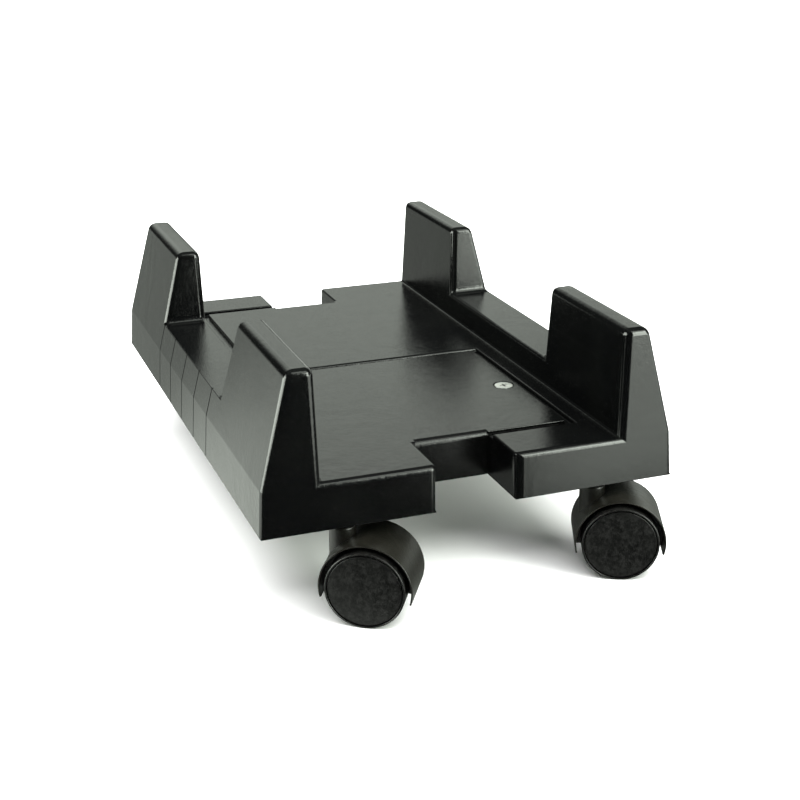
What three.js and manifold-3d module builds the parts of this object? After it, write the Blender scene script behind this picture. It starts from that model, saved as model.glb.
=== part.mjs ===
// Rolling stand that holds an upright desktop computer case.
// Two identical moulded halves, one turned half a turn about Z, slide along X to set the width. Each half
// has a thin tongue that lies over the lower deck of the other half, and a lock screw with a wing nut that
// clamps the two through a slot. Four hooded twin-wheel casters carry the halves.
// Millimetres, +Z up, origin on the floor under the middle, +Y along the long side.
import * as THREE from 'three';
import { mergeVertices } from 'three/addons/utils/BufferGeometryUtils.js';
import Module from 'manifold-3d';

const wasm = await Module();
wasm.setup();

// Driving dimensions of a half. Heights of a half are counted from its lower rim.
const width = 210; // over both halves, closed up
const length = 300; // along Y at the lower rim
const rimHeight = 47.7; // lower rim above the floor
const deckTop = 22.9; // upper deck, where the computer case stands
const recessFloor = 20.6; // recess that takes the other half's tongue, and the reach beyond it
const creaseHeight = 22.4; // where the outer wall starts to slope inwards
const railTop = 36.6;
const postTop = 76.6;
const wallDraft = 1.3; // inward lean of the outer wall up to the crease
const topInset = 15.1; // inward lean of the outer wall at the post tops
const innerAtDeck = 29.5; // outer rim to inner wall at the deck
const innerAtTop = 27.9; // outer rim to inner wall at the post tops
const endDraft = 4.3; // lean of the end faces over the full height
const postLength = 87; // post along Y at rail height
const postTaper = 2.4; // lean of the post face over the rail, from rail to top
const wall = 2.6;
const deckThickness = 2.4;
const gap = 0.3; // clearance between pieces that touch

// Notch, tongue, recess and lock
const notchEdge = 20; // half the notch width, closed up
const notchDepthY = 117.5; // notch wall, measured from the middle
const tongueEnd = 62;
const tongueThickness = 2;
const seam = 0.75; // half the gap between the two tongues
const recessEnd = 65.2;
const recessFront = 122;
const underDeckEdge = 19.5; // how far the lower deck reaches past the middle
const underDeckSide = 114.7;
const lockX = 54.5;
const lockY = 60.4;
const travel = 57; // how far the halves pull apart
const slotRadius = 3.2;
const grooveStart = 62.5;
const groovePitch = 27.5;
const grooveCount = 5;

// Casters
const stemX = { front: 63, rear: 66.9 }; // of a half's own two stems
const stemY = 139;
const wheelRadius = 19;
const trail = 13.9; // stem axis to axle
const hoodRadius = 22.3;
const hoodWall = 1.3;
const hoodHalfWidth = 15;
const webHalfWidth = 4.7;
const wheelInnerFace = 5.2;
const wheelOuterFace = 16.4;
const hoodTip = 14.6; // degrees below the axle where the hood ends
const neckRadius = 6.2;
const neckTop = 44.7;
const axleRadius = 2.3;
const round = 24; // segments of round pieces

const materials = {
  shell: new THREE.MeshStandardMaterial({ color: 0x1b1d1d, roughness: 0.5 }),
  hood: new THREE.MeshStandardMaterial({ color: 0x232420, roughness: 0.45 }),
  wheel: new THREE.MeshStandardMaterial({ color: 0x161716, roughness: 0.6 }),
  steel: new THREE.MeshStandardMaterial({ color: 0xb9bcbe, roughness: 0.3, metalness: 1 }),
  zinc: new THREE.MeshStandardMaterial({ color: 0xd6d8da, roughness: 0.25, metalness: 1 }),
};

// Solids for cutting and joining
function solid(geometry) {
  const bare = geometry.index ? geometry.toNonIndexed() : geometry.clone();
  bare.deleteAttribute('normal');
  bare.deleteAttribute('uv');
  const merged = mergeVertices(bare, 1e-4);
  const vertProperties = new Float32Array(merged.attributes.position.array);
  const triVerts = new Uint32Array(merged.index.array);
  return new wasm.Manifold(new wasm.Mesh({ numProp: 3, vertProperties, triVerts }));
}

function toGeometry(manifold) {
  const mesh = manifold.getMesh();
  const geometry = new THREE.BufferGeometry();
  geometry.setAttribute('position', new THREE.BufferAttribute(new Float32Array(mesh.vertProperties), 3));
  geometry.setIndex(new THREE.BufferAttribute(new Uint32Array(mesh.triVerts), 1));
  geometry.computeVertexNormals();
  return geometry;
}

const join = (...parts) => parts.reduce((sum, part) => sum.add(part));
const cut = (body, ...tools) => tools.reduce((rest, tool) => rest.subtract(tool), body);

function box(x0, x1, y0, y1, z0, z1) {
  const geometry = new THREE.BoxGeometry(x1 - x0, y1 - y0, z1 - z0);
  geometry.translate((x0 + x1) / 2, (y0 + y1) / 2, (z0 + z1) / 2);
  return solid(geometry);
}

function cylinderZ(x, y, z0, z1, bottomRadius, topRadius = bottomRadius) {
  const geometry = new THREE.CylinderGeometry(topRadius, bottomRadius, z1 - z0, round);
  geometry.rotateX(Math.PI / 2);
  geometry.translate(x, y, (z0 + z1) / 2);
  return solid(geometry);
}

function cylinderX(x0, x1, y, z, radius) {
  const geometry = new THREE.CylinderGeometry(radius, radius, x1 - x0, round);
  geometry.rotateZ(Math.PI / 2);
  geometry.translate((x0 + x1) / 2, y, z);
  return solid(geometry);
}

// Profile points are [radius, height]; the piece turns about Z.
function latheZ(profile) {
  const geometry = new THREE.LatheGeometry(profile.map(([r, z]) => new THREE.Vector2(r, z)), round);
  geometry.rotateX(Math.PI / 2);
  return solid(geometry);
}

// A tapered block: one rectangle [x0, x1, y0, y1] at each height.
function taperedBlock(levels) {
  const corners = [];
  for (const { z, rect: [x0, x1, y0, y1] } of levels) {
    corners.push([x0, y0, z], [x1, y0, z], [x1, y1, z], [x0, y1, z]);
  }
  const faces = [[0, 2, 1], [0, 3, 2]];
  for (let level = 0; level < levels.length - 1; level += 1) {
    const low = 4 * level;
    for (let side = 0; side < 4; side += 1) {
      const next = (side + 1) % 4;
      faces.push([low + side, low + next, low + 4 + next], [low + side, low + 4 + next, low + 4 + side]);
    }
  }
  const top = 4 * (levels.length - 1);
  faces.push([top, top + 1, top + 2], [top, top + 2, top + 3]);
  const geometry = new THREE.BufferGeometry();
  geometry.setAttribute('position', new THREE.Float32BufferAttribute(corners.flat(), 3));
  geometry.setIndex(faces.flat());
  return solid(geometry);
}

// The leaning faces of the left half, as functions of height. Its outer wall is at -X.
function outerX(z) {
  const slope = (topInset - wallDraft) / (postTop - creaseHeight);
  const inset = z <= creaseHeight ? wallDraft * z / creaseHeight : wallDraft + slope * (z - creaseHeight);
  return -width / 2 + inset;
}

function innerX(z) {
  const rise = Math.max(0, z - deckTop) / (postTop - deckTop);
  return -width / 2 + innerAtDeck + (innerAtTop - innerAtDeck) * rise;
}

const endY = (z) => length / 2 - endDraft * z / postTop;
const postFaceY = (z) => length / 2 - postLength + postTaper * (z - railTop) / (postTop - railTop);

const level = (z, rect) => ({ z, rect });

// side is -1 for the front post, 1 for the rear one; inset thins the form for the hollow inside.
function postBlock(side, heights, inset) {
  return taperedBlock(heights.map((z) => {
    const near = side * (postFaceY(z) + inset);
    const far = side * (endY(z) - inset);
    const rect = [outerX(z) + inset, innerX(z) - inset, Math.min(near, far), Math.max(near, far)];
    return level(z, rect);
  }));
}

function sideChannel() {
  const rail = taperedBlock([0, creaseHeight, railTop].map((z) => (
    level(z, [outerX(z), innerX(z), -endY(z), endY(z)]))));
  const heights = [0, creaseHeight, deckTop, postTop];
  return join(rail, postBlock(-1, heights, 0), postBlock(1, heights, 0));
}

function channelHollows() {
  const rail = taperedBlock([-1, creaseHeight, railTop - wall].map((z) => (
    level(z, [outerX(z) + wall, innerX(z) - wall, -postFaceY(z) + wall, postFaceY(z) - wall]))));
  const heights = [-1, creaseHeight, deckTop, postTop - wall];
  return [rail, postBlock(-1, heights, wall), postBlock(1, heights, wall)];
}

const channelWall = innerX(0);

// Upper deck with the front corner block, the notch wall and the tongue
function upperDeck() {
  const block = taperedBlock([0, deckTop].map((z) => level(z, [channelWall - 1, -notchEdge, -endY(z), -seam])));
  const tongue = box(-notchEdge - 1, tongueEnd, -notchDepthY, -seam, deckTop - tongueThickness, deckTop);
  const notchWall = box(-notchEdge - 1, notchEdge - gap, -notchDepthY, -notchDepthY + 2.5, 0, deckTop - 1);
  return join(block, tongue, notchWall);
}

// Rear arm at deck height with the recess for the other half's tongue, and the reach under that tongue
function lowerDeck() {
  const arm = taperedBlock([0, deckTop].map((z) => (
    level(z, [channelWall - 1, -notchEdge, -seam - 1, endY(z)]))));
  const recess = box(-recessEnd, -notchEdge + 1, -seam - 2, recessFront, recessFloor, deckTop + 1);
  const underside = recessFloor - deckThickness;
  const reach = box(-notchEdge - 1, underDeckEdge, seam, underDeckSide, underside, recessFloor);
  return join(cut(arm, recess), reach);
}

function deckHollows() {
  const frontTop = deckTop - deckThickness;
  const rearTop = recessFloor - deckThickness;
  const front = taperedBlock([-1, frontTop].map((z) => (
    level(z, [channelWall, -notchEdge - wall, -endY(z) + wall, -seam - wall]))));
  const rear = taperedBlock([-1, rearTop].map((z) => (
    level(z, [channelWall, -notchEdge - wall, -seam, endY(z) - wall]))));
  const rearEnd = taperedBlock([-1, frontTop].map((z) => (
    level(z, [channelWall, -notchEdge - wall, recessFront + wall, endY(z) - wall]))));
  const rearSide = box(channelWall, -recessEnd - wall, -seam, recessFront + wall + 1, -1, frontTop);
  const sideOpening = box(-notchEdge - wall - 1, -notchEdge + 1, seam, underDeckSide, -1, rearTop);
  return [front, rear, rearEnd, rearSide, sideOpening];
}

function ribs() {
  const ribHalf = 1;
  const bottom = 6;
  const cross = (y, x0, x1, top) => box(x0, x1, y - ribHalf, y + ribHalf, bottom, top);
  const front = [-116.4, -60, -30, -90].map((y) => (
    cross(y, channelWall - 1, -notchEdge - 1, deckTop - 1)));
  const rear = [30, 92, 116.4].map((y) => (
    cross(y, channelWall - 1, -notchEdge - wall - 0.2, recessFloor - 1)));
  const rail = [-40, 0, 40].map((y) => taperedBlock([bottom, creaseHeight, railTop - 1].map((z) => (
    level(z, [outerX(z) + 1.5, channelWall - 1, y - ribHalf, y + ribHalf])))));
  return [...front, ...rear, ...rail];
}

const socketBottom = 0.6;
const socketDepth = 17;
const sockets = [[-stemX.front, -stemY], [-stemX.rear, stemY]];
const socketBosses = () => sockets.map(([x, y]) => cylinderZ(x, y, socketBottom, deckTop - 1, 8));
const socketHoles = () => sockets.map(([x, y]) => cylinderZ(x, y, 0, socketDepth, 5.3));

function lockCuts() {
  const countersink = cylinderZ(lockX, -lockY, deckTop - 2.6, deckTop + 0.05, 2.9, 5.8);
  const through = cylinderZ(lockX, -lockY, 10, 30, 2.9);
  const slotEnd = travel - lockX;
  const slotCuts = [
    box(-lockX, slotEnd, lockY - slotRadius, lockY + slotRadius, 16, 20.85),
    cylinderZ(-lockX, lockY, 16, 20.85, slotRadius),
    cylinderZ(slotEnd, lockY, 16, 20.85, slotRadius),
  ];
  return [countersink, through, ...slotCuts];
}

// Thin upright grooves that divide the outer wall and the rail slope into panels
function grooves() {
  const depth = 0.5;
  const half = 0.4;
  return Array.from({ length: grooveCount }, (_, index) => {
    const y = grooveStart - groovePitch * index;
    return taperedBlock([-1, creaseHeight, railTop + 1].map((z) => (
      level(z, [outerX(z) - 1, outerX(z) + depth, y - half, y + half]))));
  });
}

// Fine step across the inner face of the rear post
function postLine() {
  const z = 56;
  return box(innerX(z) - 0.3, innerX(z) + 1, postFaceY(z) - 1, length / 2, z - 0.3, z + 0.3);
}

function halfShell() {
  const outside = join(sideChannel(), upperDeck(), lowerDeck());
  const hollow = cut(outside, ...channelHollows(), ...deckHollows());
  const stiffened = join(hollow, ...ribs(), ...socketBosses());
  return toGeometry(cut(stiffened, ...socketHoles(), ...lockCuts(), ...grooves(), postLine()));
}

// Lock hardware, placed about the screw axis with heights from the lower rim
function lockScrew() {
  const top = deckTop - 0.1;
  return toGeometry(latheZ([
    [0, 1.5], [1.9, 1.5], [2.4, 2.1], [2.4, top - 2.3], [5, top - 0.3], [4.8, top], [0, top],
  ]));
}

const lockFace = recessFloor - deckThickness - gap;

function lockWasher() {
  const under = lockFace - 1.2;
  return toGeometry(latheZ([[2.75, under], [6.5, under], [6.5, lockFace], [2.75, lockFace], [2.75, under]]));
}

function wingNut() {
  const top = lockFace - 1.5;
  const hub = latheZ([[0, top - 6], [4.4, top - 6], [5.4, top], [0, top]]);
  const wing = new THREE.Shape();
  wing.moveTo(0, top - 5.5);
  wing.lineTo(6, top - 8);
  wing.quadraticCurveTo(9, top - 12, 12.5, top - 11);
  wing.quadraticCurveTo(14, top - 8, 12, top - 5);
  wing.lineTo(5, top - 1);
  wing.lineTo(0, top - 1);
  const wingGeometry = new THREE.ExtrudeGeometry(wing, { depth: 2.2, bevelEnabled: false, curveSegments: 5 });
  wingGeometry.rotateX(Math.PI / 2);
  wingGeometry.translate(0, 1.1, 0);
  const right = solid(wingGeometry);
  const left = solid(wingGeometry.clone().rotateZ(Math.PI));
  return toGeometry(cut(join(hub, right, left), cylinderZ(0, 0, -2, 20, 2.75)));
}

// Caster pieces: the stem stands on Z, the axle lies along X at y = trail
function casterHood() {
  const tip = THREE.MathUtils.degToRad(hoodTip);
  const webTip = THREE.MathUtils.degToRad(hoodTip - 3);
  const arc = (radius, from, to, clockwise) => {
    const shape = new THREE.Shape();
    shape.absarc(0, 0, radius, from, to, clockwise);
    return shape.getPoints(14);
  };
  const extrudeAlongX = (points, halfWidth) => {
    const settings = { depth: 2 * halfWidth, bevelEnabled: false };
    const geometry = new THREE.ExtrudeGeometry(new THREE.Shape(points), settings);
    geometry.rotateY(Math.PI / 2);
    geometry.rotateX(Math.PI / 2);
    geometry.translate(-halfWidth, trail, wheelRadius);
    return solid(geometry);
  };
  const outer = arc(hoodRadius, -tip, Math.PI + tip, false);
  const inner = arc(hoodRadius - hoodWall, Math.PI + tip, -tip, true);
  const shell = extrudeAlongX([...outer, ...inner], hoodHalfWidth);
  const web = extrudeAlongX([
    ...arc(hoodRadius - 0.5, -webTip, Math.PI + webTip, false),
    ...arc(7, Math.PI * 1.2, Math.PI * 1.8, false),
  ], webHalfWidth);
  const wheelSpace = cylinderX(-hoodRadius, hoodRadius, trail, wheelRadius, hoodRadius - hoodWall);
  const neck = cut(cylinderZ(0, 0, wheelRadius, neckTop, neckRadius), wheelSpace);
  const stemBore = cylinderZ(0, 0, 28, neckTop + 1, 3.3);
  const axleBore = cylinderX(-hoodRadius, hoodRadius, trail, wheelRadius, axleRadius + gap);
  return toGeometry(cut(join(shell, web, neck), stemBore, axleBore));
}

function casterStem() {
  const collar = neckTop + gap;
  const collarTop = rimHeight + socketBottom - gap;
  const top = rimHeight + socketDepth - 1.2;
  return toGeometry(latheZ([
    [0, 28.4], [3, 28.4], [3, collar], [5.6, collar], [5.6, collarTop], [3.9, collarTop],
    [3.9, top - 1], [3.1, top], [0, top],
  ]));
}

function stemSleeve() {
  const bottom = rimHeight + socketBottom + 0.1;
  const top = rimHeight + socketDepth - 1;
  return toGeometry(latheZ([[4.2, bottom], [5, bottom], [5, top], [4.2, top], [4.2, bottom]]));
}

function casterAxle() {
  const length = 2 * (wheelOuterFace - 3);
  const geometry = new THREE.CylinderGeometry(axleRadius, axleRadius, length, round);
  geometry.rotateZ(Math.PI / 2);
  geometry.translate(0, trail, wheelRadius);
  return geometry;
}

// Profile is [radius, distance out from the caster's middle]; side is 1 or -1 along X.
function casterWheel(side) {
  const face = wheelOuterFace;
  const back = wheelInnerFace;
  const boreEnd = face - 2.7;
  const bore = axleRadius + gap;
  const discBack = face - 2.9;
  const rim = wheelRadius;
  const wheel = latheZ([
    [0, boreEnd], [bore, boreEnd], [bore, back], [5, back], [5, discBack],
    [rim - 2.2, discBack], [rim - 2.2, back], [rim - 0.8, back], [rim, back + 1], [rim, face - 1.4],
    [rim - 1.3, face], [rim - 2.1, face], [rim - 2.7, face - 0.5], [0, face - 0.5],
  ]);
  const geometry = toGeometry(wheel);
  geometry.rotateY(side * Math.PI / 2);
  geometry.translate(0, trail, wheelRadius);
  return geometry;
}

// Assembly
const stand = new THREE.Group();

function piece(parent, name, geometry, material) {
  const mesh = new THREE.Mesh(geometry, material);
  mesh.name = name;
  parent.add(mesh);
  return mesh;
}

// turn is 0 for the left half and half a turn for the right one.
function addHalf(name, turn) {
  const half = new THREE.Group();
  half.position.z = rimHeight;
  half.rotation.z = turn;
  stand.add(half);
  piece(half, `${name}_shell`, halfShell(), materials.shell);
  const lock = new THREE.Group();
  lock.position.set(lockX, -lockY, 0);
  half.add(lock);
  piece(lock, `${name}_lock_screw`, lockScrew(), materials.zinc);
  piece(lock, `${name}_lock_washer`, lockWasher(), materials.zinc);
  piece(lock, `${name}_wing_nut`, wingNut(), materials.steel);
}

// heading is the direction of +Y of the caster's own frame, in degrees about Z.
function addCaster(name, x, y, heading) {
  const caster = new THREE.Group();
  caster.position.set(x, y, 0);
  caster.rotation.z = THREE.MathUtils.degToRad(heading);
  stand.add(caster);
  piece(caster, `${name}_hood`, casterHood(), materials.hood);
  piece(caster, `${name}_stem`, casterStem(), materials.steel);
  piece(caster, `${name}_stem_sleeve`, stemSleeve(), materials.steel);
  piece(caster, `${name}_axle`, casterAxle(), materials.steel);
  piece(caster, `${name}_wheel_a`, casterWheel(1), materials.wheel);
  piece(caster, `${name}_wheel_b`, casterWheel(-1), materials.wheel);
}

addHalf('left', 0);
addHalf('right', Math.PI);
const leftHeading = -122.3;
const rightHeading = -113.9;
addCaster('front_left', -stemX.front, -stemY, leftHeading);
addCaster('front_right', stemX.rear, -stemY, rightHeading);
addCaster('rear_left', -stemX.rear, stemY, -180 - leftHeading);
addCaster('rear_right', stemX.front, stemY, -180 - rightHeading);

export default stand;
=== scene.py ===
"""Rolling stand for an upright computer case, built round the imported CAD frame.

Two identical black moulded halves slide together; each carries two hooded twin-wheel casters and a lock
screw with a washer and a wing nut. Every visible piece is rebuilt here with fillets and fine detail and
rides on its CAD body. Pieces are modelled in millimetres, in the frame of their half or their caster,
and are scaled to metres when they are placed.
"""
import contextlib
import math

import bmesh
import bpy
from mathutils import Matrix, Vector


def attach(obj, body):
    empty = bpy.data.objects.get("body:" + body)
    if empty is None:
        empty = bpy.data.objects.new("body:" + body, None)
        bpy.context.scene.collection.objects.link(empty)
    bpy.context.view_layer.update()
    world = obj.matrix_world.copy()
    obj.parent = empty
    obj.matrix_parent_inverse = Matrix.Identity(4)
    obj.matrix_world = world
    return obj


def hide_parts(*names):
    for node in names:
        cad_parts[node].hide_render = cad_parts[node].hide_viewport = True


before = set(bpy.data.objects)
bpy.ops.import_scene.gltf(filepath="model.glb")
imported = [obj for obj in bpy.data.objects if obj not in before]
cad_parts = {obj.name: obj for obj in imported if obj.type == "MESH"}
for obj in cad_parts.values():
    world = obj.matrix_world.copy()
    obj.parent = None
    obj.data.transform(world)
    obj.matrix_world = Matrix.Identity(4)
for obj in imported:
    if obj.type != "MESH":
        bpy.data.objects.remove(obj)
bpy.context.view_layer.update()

MM = 0.001

# Driving dimensions of a half, in millimetres. Heights are counted from its lower rim.
HALF_WIDTH = 105.0
HALF_LENGTH = 150.0
RIM_HEIGHT = 47.7
DECK_TOP = 22.9
RECESS_FLOOR = 20.6
CREASE = 22.4
RAIL_TOP = 36.6
POST_TOP = 76.6
WALL_DRAFT = 1.3
TOP_INSET = 15.1
INNER_AT_DECK = 29.5
INNER_AT_TOP = 27.9
END_DRAFT = 4.3
POST_LENGTH = 87.0
POST_TAPER = 2.4
WALL = 2.6
DECK_THICKNESS = 2.4
GAP = 0.3

NOTCH_EDGE = 20.0
NOTCH_Y = 117.5
NOTCH_WALL = 2.5
TONGUE_END = 62.0
TONGUE_THICKNESS = 2.0
SEAM = 0.75
RECESS_END = 65.2
RECESS_FRONT = 122.0
REACH_EDGE = 19.5
REACH_SIDE = 114.7
LOCK_X = 54.5
LOCK_Y = 60.4
TRAVEL = 57.0
SLOT_RADIUS = 3.2
SCREW_HOLE_RADIUS = 2.9
SCREW_SINK_RADIUS = 5.8
SCREW_SINK_DEPTH = 2.6
GROOVE_START = 62.5
GROOVE_PITCH = 27.5
GROOVE_COUNT = 5
GROOVE_HALF_WIDTH = 0.55
GROOVE_DEPTH = 0.9
LINE_HEIGHT = 56.0
LINE_HALF_WIDTH = 0.65
LINE_DEPTH = 0.4
FRONT_RIBS = (-116.4, -90, -60, -30)
REAR_RIBS = (30, 92, 116.4)
RAIL_RIBS = (-40, 0, 40)
RIB_HALF_WIDTH = 1.0
RIB_BOTTOM = 6.0

# Fillet radii of the mouldings
POST_TOP_FILLET = 3.6
POST_INNER_FILLET = 3.8
POST_OUTER_FILLET = 3.0
DECK_END_FILLET = 2.8
DECK_EDGE_FILLET = 1.3
RAIL_FILLET = 1.8
RAIL_OUTER_FILLET = 0.3
INNER_FILLET = 1.6
CORNER_FILLET = 3.0
REAR_CORNER_FILLET = 4.5
NOTCH_CORNER_FILLET = 2.6
NOTCH_LIP_FILLET = 3.2
FOOT_FILLET = 4.0
SEAM_FILLET = 1.9
CREASE_FILLET = 0.6
RECESS_FILLET = 0.9
RECESS_CORNER_FILLET = 0.6
RECESS_FOOT_FILLET = 0.35
REACH_FILLET = 0.5
TONGUE_END_FILLET = 0.4
TONGUE_CORNER_FILLET = 1.0
RIM_FILLET = 0.35

# Casters, in millimetres from the floor up. Headings are in degrees.
FRONT_STEM_X = 63.0
REAR_STEM_X = 66.9
STEM_Y = 139.0
LEFT_HEADING = -122.3
RIGHT_HEADING = -113.9
WHEEL_RADIUS = 19.0
TRAIL = 13.9
HOOD_RADIUS = 22.3
HOOD_WALL = 0.85
HOOD_ROUNDING = 0.36
HOOD_HALF_WIDTH = 15.0
WEB_HALF_WIDTH = 4.7
WHEEL_BACK = 5.2
WHEEL_FACE = 16.4
HOOD_TIP = 14.6
RIM_ROUNDING = 0.6
RIM_THICKNESS = 2.6
DISC_THICKNESS = 3.1
DISC_STEP = 0.3
HUB_RADIUS = 5.0
SPOKE_COUNT = 6
SPOKE_HALF_WIDTH = 0.6
NECK_RADIUS = 6.2
NECK_TOP = 44.7
AXLE_RADIUS = 2.3
STEM_BOTTOM = 28.4
STEM_BORE_RADIUS = 3.3

# Stem sockets, in millimetres from the lower rim up
SOCKET_BOTTOM = 0.6
SOCKET_DEPTH = 17.0
SOCKET_RADIUS = 5.3
SOCKET_BOSS_RADIUS = 8.0


# ---------------------------------------------------------------- mesh tools
def new_object(name, mesh):
    piece = bpy.data.objects.new(name, mesh)
    bpy.context.scene.collection.objects.link(piece)
    return piece


@contextlib.contextmanager
def editing(mesh):
    """A mesh opened for editing, and written back at the end."""
    work = bmesh.new()
    work.from_mesh(mesh)
    yield work
    work.to_mesh(mesh)
    work.free()


def solid(points, faces):
    """A closed mesh from corner points and faces, with its faces turned outwards."""
    mesh = bpy.data.meshes.new("solid")
    mesh.from_pydata(points, [], faces)
    with editing(mesh) as work:
        bmesh.ops.remove_doubles(work, verts=work.verts, dist=1e-5)
        bmesh.ops.recalc_face_normals(work, faces=work.faces)
    return new_object("solid", mesh)


def bands(rows, count, closed=False):
    """Faces between rows of count points, where the points of a row make a ring."""
    faces = []
    for row in range(rows if closed else rows - 1):
        low, high = row * count, (row + 1) % rows * count
        for step in range(count):
            after = (step + 1) % count
            faces.append((low + step, low + after, high + after, high + step))
    return faces


def ends(rows, count):
    """The two faces that close the first and the last row."""
    return [tuple(range(count)), tuple(range((rows - 1) * count, rows * count))]


def tapered_block(levels):
    """One rectangle (x0, x1, y0, y1) at each height z, joined into a block."""
    points = []
    for z, (x0, x1, y0, y1) in levels:
        points += [(x0, y0, z), (x1, y0, z), (x1, y1, z), (x0, y1, z)]
    bottom, top = ends(len(levels), 4)
    return solid(points, [bottom, *bands(len(levels), 4), top])


def arc(centre_x, centre_y, radius, start, end, steps):
    """Points along an arc, with its angles in degrees."""
    points = []
    for step in range(steps + 1):
        angle = math.radians(start + (end - start) * step / steps)
        points.append((centre_x + radius * math.cos(angle), centre_y + radius * math.sin(angle)))
    return points


def box(x0, x1, y0, y1, z0, z1):
    return tapered_block([(z0, (x0, x1, y0, y1)), (z1, (x0, x1, y0, y1))])


def lathe(profile, segments=48, closed=False):
    """Turns (radius, height) points about Z. A closed profile makes a ring; an open one starts and ends
    on the axis."""
    points = []
    for radius, height in profile:
        for step in range(segments):
            angle = 2 * math.pi * step / segments
            points.append((radius * math.cos(angle), radius * math.sin(angle), height))
    return solid(points, bands(len(profile), segments, closed))


def cylinder_z(x, y, z0, z1, low_radius, high_radius=None, segments=48):
    high = low_radius if high_radius is None else high_radius
    piece = lathe([(0, z0), (low_radius, z0), (high, z1), (0, z1)], segments)
    piece.data.transform(Matrix.Translation((x, y, 0)))
    return piece


def cylinder_x(x0, x1, y, z, radius, segments=64):
    piece = lathe([(0, x0), (radius, x0), (radius, x1), (0, x1)], segments)
    piece.data.transform(Matrix.Translation((0, y, z)) @ Matrix.Rotation(math.pi / 2, 4, "Y"))
    return piece


def extrude_x(outline, x0, x1):
    """A closed outline of (y, z) points, given thickness along X."""
    count = len(outline)
    points = [(x, y, z) for x in (x0, x1) for y, z in outline]
    return solid(points, ends(2, count) + bands(2, count))


def bake(piece):
    """Replaces the mesh by what its modifiers make of it."""
    graph = bpy.context.evaluated_depsgraph_get()
    mesh = bpy.data.meshes.new_from_object(piece.evaluated_get(graph))
    piece.modifiers.clear()
    piece.data = mesh
    return piece


def combine(base, tools, operation):
    for tool in tools:
        step = base.modifiers.new("combine", "BOOLEAN")
        step.operation = operation
        step.solver = "EXACT"
        step.object = tool
    bake(base)
    for tool in tools:
        bpy.data.objects.remove(tool)
    return base


def join(base, *tools):
    return combine(base, tools, "UNION")


def cut(base, *tools):
    return combine(base, tools, "DIFFERENCE")


def flatten(piece):
    """Merges the flat pieces that joining leaves, so that every face is one polygon."""
    with editing(piece.data) as work:
        bmesh.ops.remove_doubles(work, verts=work.verts, dist=1e-3)
        bmesh.ops.dissolve_limit(work, angle_limit=math.radians(0.2), verts=work.verts, edges=work.edges)
    return piece


def fillet(piece, radius_of, segments=6):
    """Rounds each edge to the radius that radius_of(edge) gives; 0 leaves it sharp. The rounded faces
    get material number 1."""
    with editing(piece.data) as work:
        radii = [radius_of(edge) for edge in work.edges]
        widest = max(radii)
        layer = work.edges.layers.float.new("bevel_weight_edge")
        for edge, radius in zip(work.edges, radii):
            edge[layer] = radius / widest
    piece.data.materials.append(None)
    piece.data.materials.append(None)
    rounding = piece.modifiers.new("fillet", "BEVEL")
    rounding.limit_method = "WEIGHT"
    rounding.material = 1
    rounding.width = widest
    rounding.segments = segments
    rounding.use_clamp_overlap = False
    return bake(piece)


def round_edges(piece, radius, segments):
    rounding = piece.modifiers.new("round", "BEVEL")
    rounding.limit_method = "ANGLE"
    rounding.angle_limit = math.radians(35)
    rounding.width = radius
    rounding.segments = segments
    return bake(piece)


def weigh_normals(piece):
    normals = piece.modifiers.new("normals", "WEIGHTED_NORMAL")
    normals.keep_sharp = True
    normals.weight = 100
    return piece


def shade(piece, sharp_angle=24):
    """Smooth shading with flat faces kept flat: sharp edges are marked by angle."""
    limit = math.radians(sharp_angle)
    with editing(piece.data) as work:
        bmesh.ops.remove_doubles(work, verts=work.verts, dist=5e-4)
        bmesh.ops.dissolve_degenerate(work, edges=work.edges, dist=5e-4)
        for face in work.faces:
            face.smooth = True
        for edge in work.edges:
            edge.smooth = len(edge.link_faces) == 2 and edge.calc_face_angle(0) < limit
    return weigh_normals(piece)


def mark_polish(piece):
    """Turns the material number that fillet() gave its faces into a face attribute for the material."""
    mesh = piece.data
    numbers = [0] * len(mesh.polygons)
    mesh.polygons.foreach_get("material_index", numbers)
    polish = mesh.attributes.new("polish", "FLOAT", "FACE")
    polish.data.foreach_set("value", [float(number) for number in numbers])
    mesh.polygons.foreach_set("material_index", [0] * len(mesh.polygons))
    return piece


def place(piece, name, body, node, matrix, material):
    """Names the piece, scales it to metres, puts it where it belongs and lets it stand for its node."""
    piece.name = name
    piece.data.name = name
    piece.data.transform(Matrix.Scale(MM, 4))
    piece.matrix_world = matrix
    piece.data.materials.clear()
    piece.data.materials.append(material)
    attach(piece, body)
    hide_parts(node)
    return piece


# ---------------------------------------------------------------- the moulded half
def outer_x(z):
    """Outer wall: upright up to the crease, but for its draft, and sloping inwards above it."""
    if z <= CREASE:
        return -HALF_WIDTH + WALL_DRAFT * z / CREASE
    slope = (TOP_INSET - WALL_DRAFT) / (POST_TOP - CREASE)
    return -HALF_WIDTH + WALL_DRAFT + slope * (z - CREASE)


def inner_x(z):
    """Inner face of the rail and the posts."""
    rise = max(0.0, z - DECK_TOP) / (POST_TOP - DECK_TOP)
    return -HALF_WIDTH + INNER_AT_DECK + (INNER_AT_TOP - INNER_AT_DECK) * rise


def end_y(z):
    """End face, from the middle of the half."""
    return HALF_LENGTH - END_DRAFT * z / POST_TOP


def post_face_y(z):
    """Face of a post towards the middle of the half."""
    return HALF_LENGTH - POST_LENGTH + POST_TAPER * (z - RAIL_TOP) / (POST_TOP - RAIL_TOP)


CHANNEL_WALL = inner_x(0)


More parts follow.
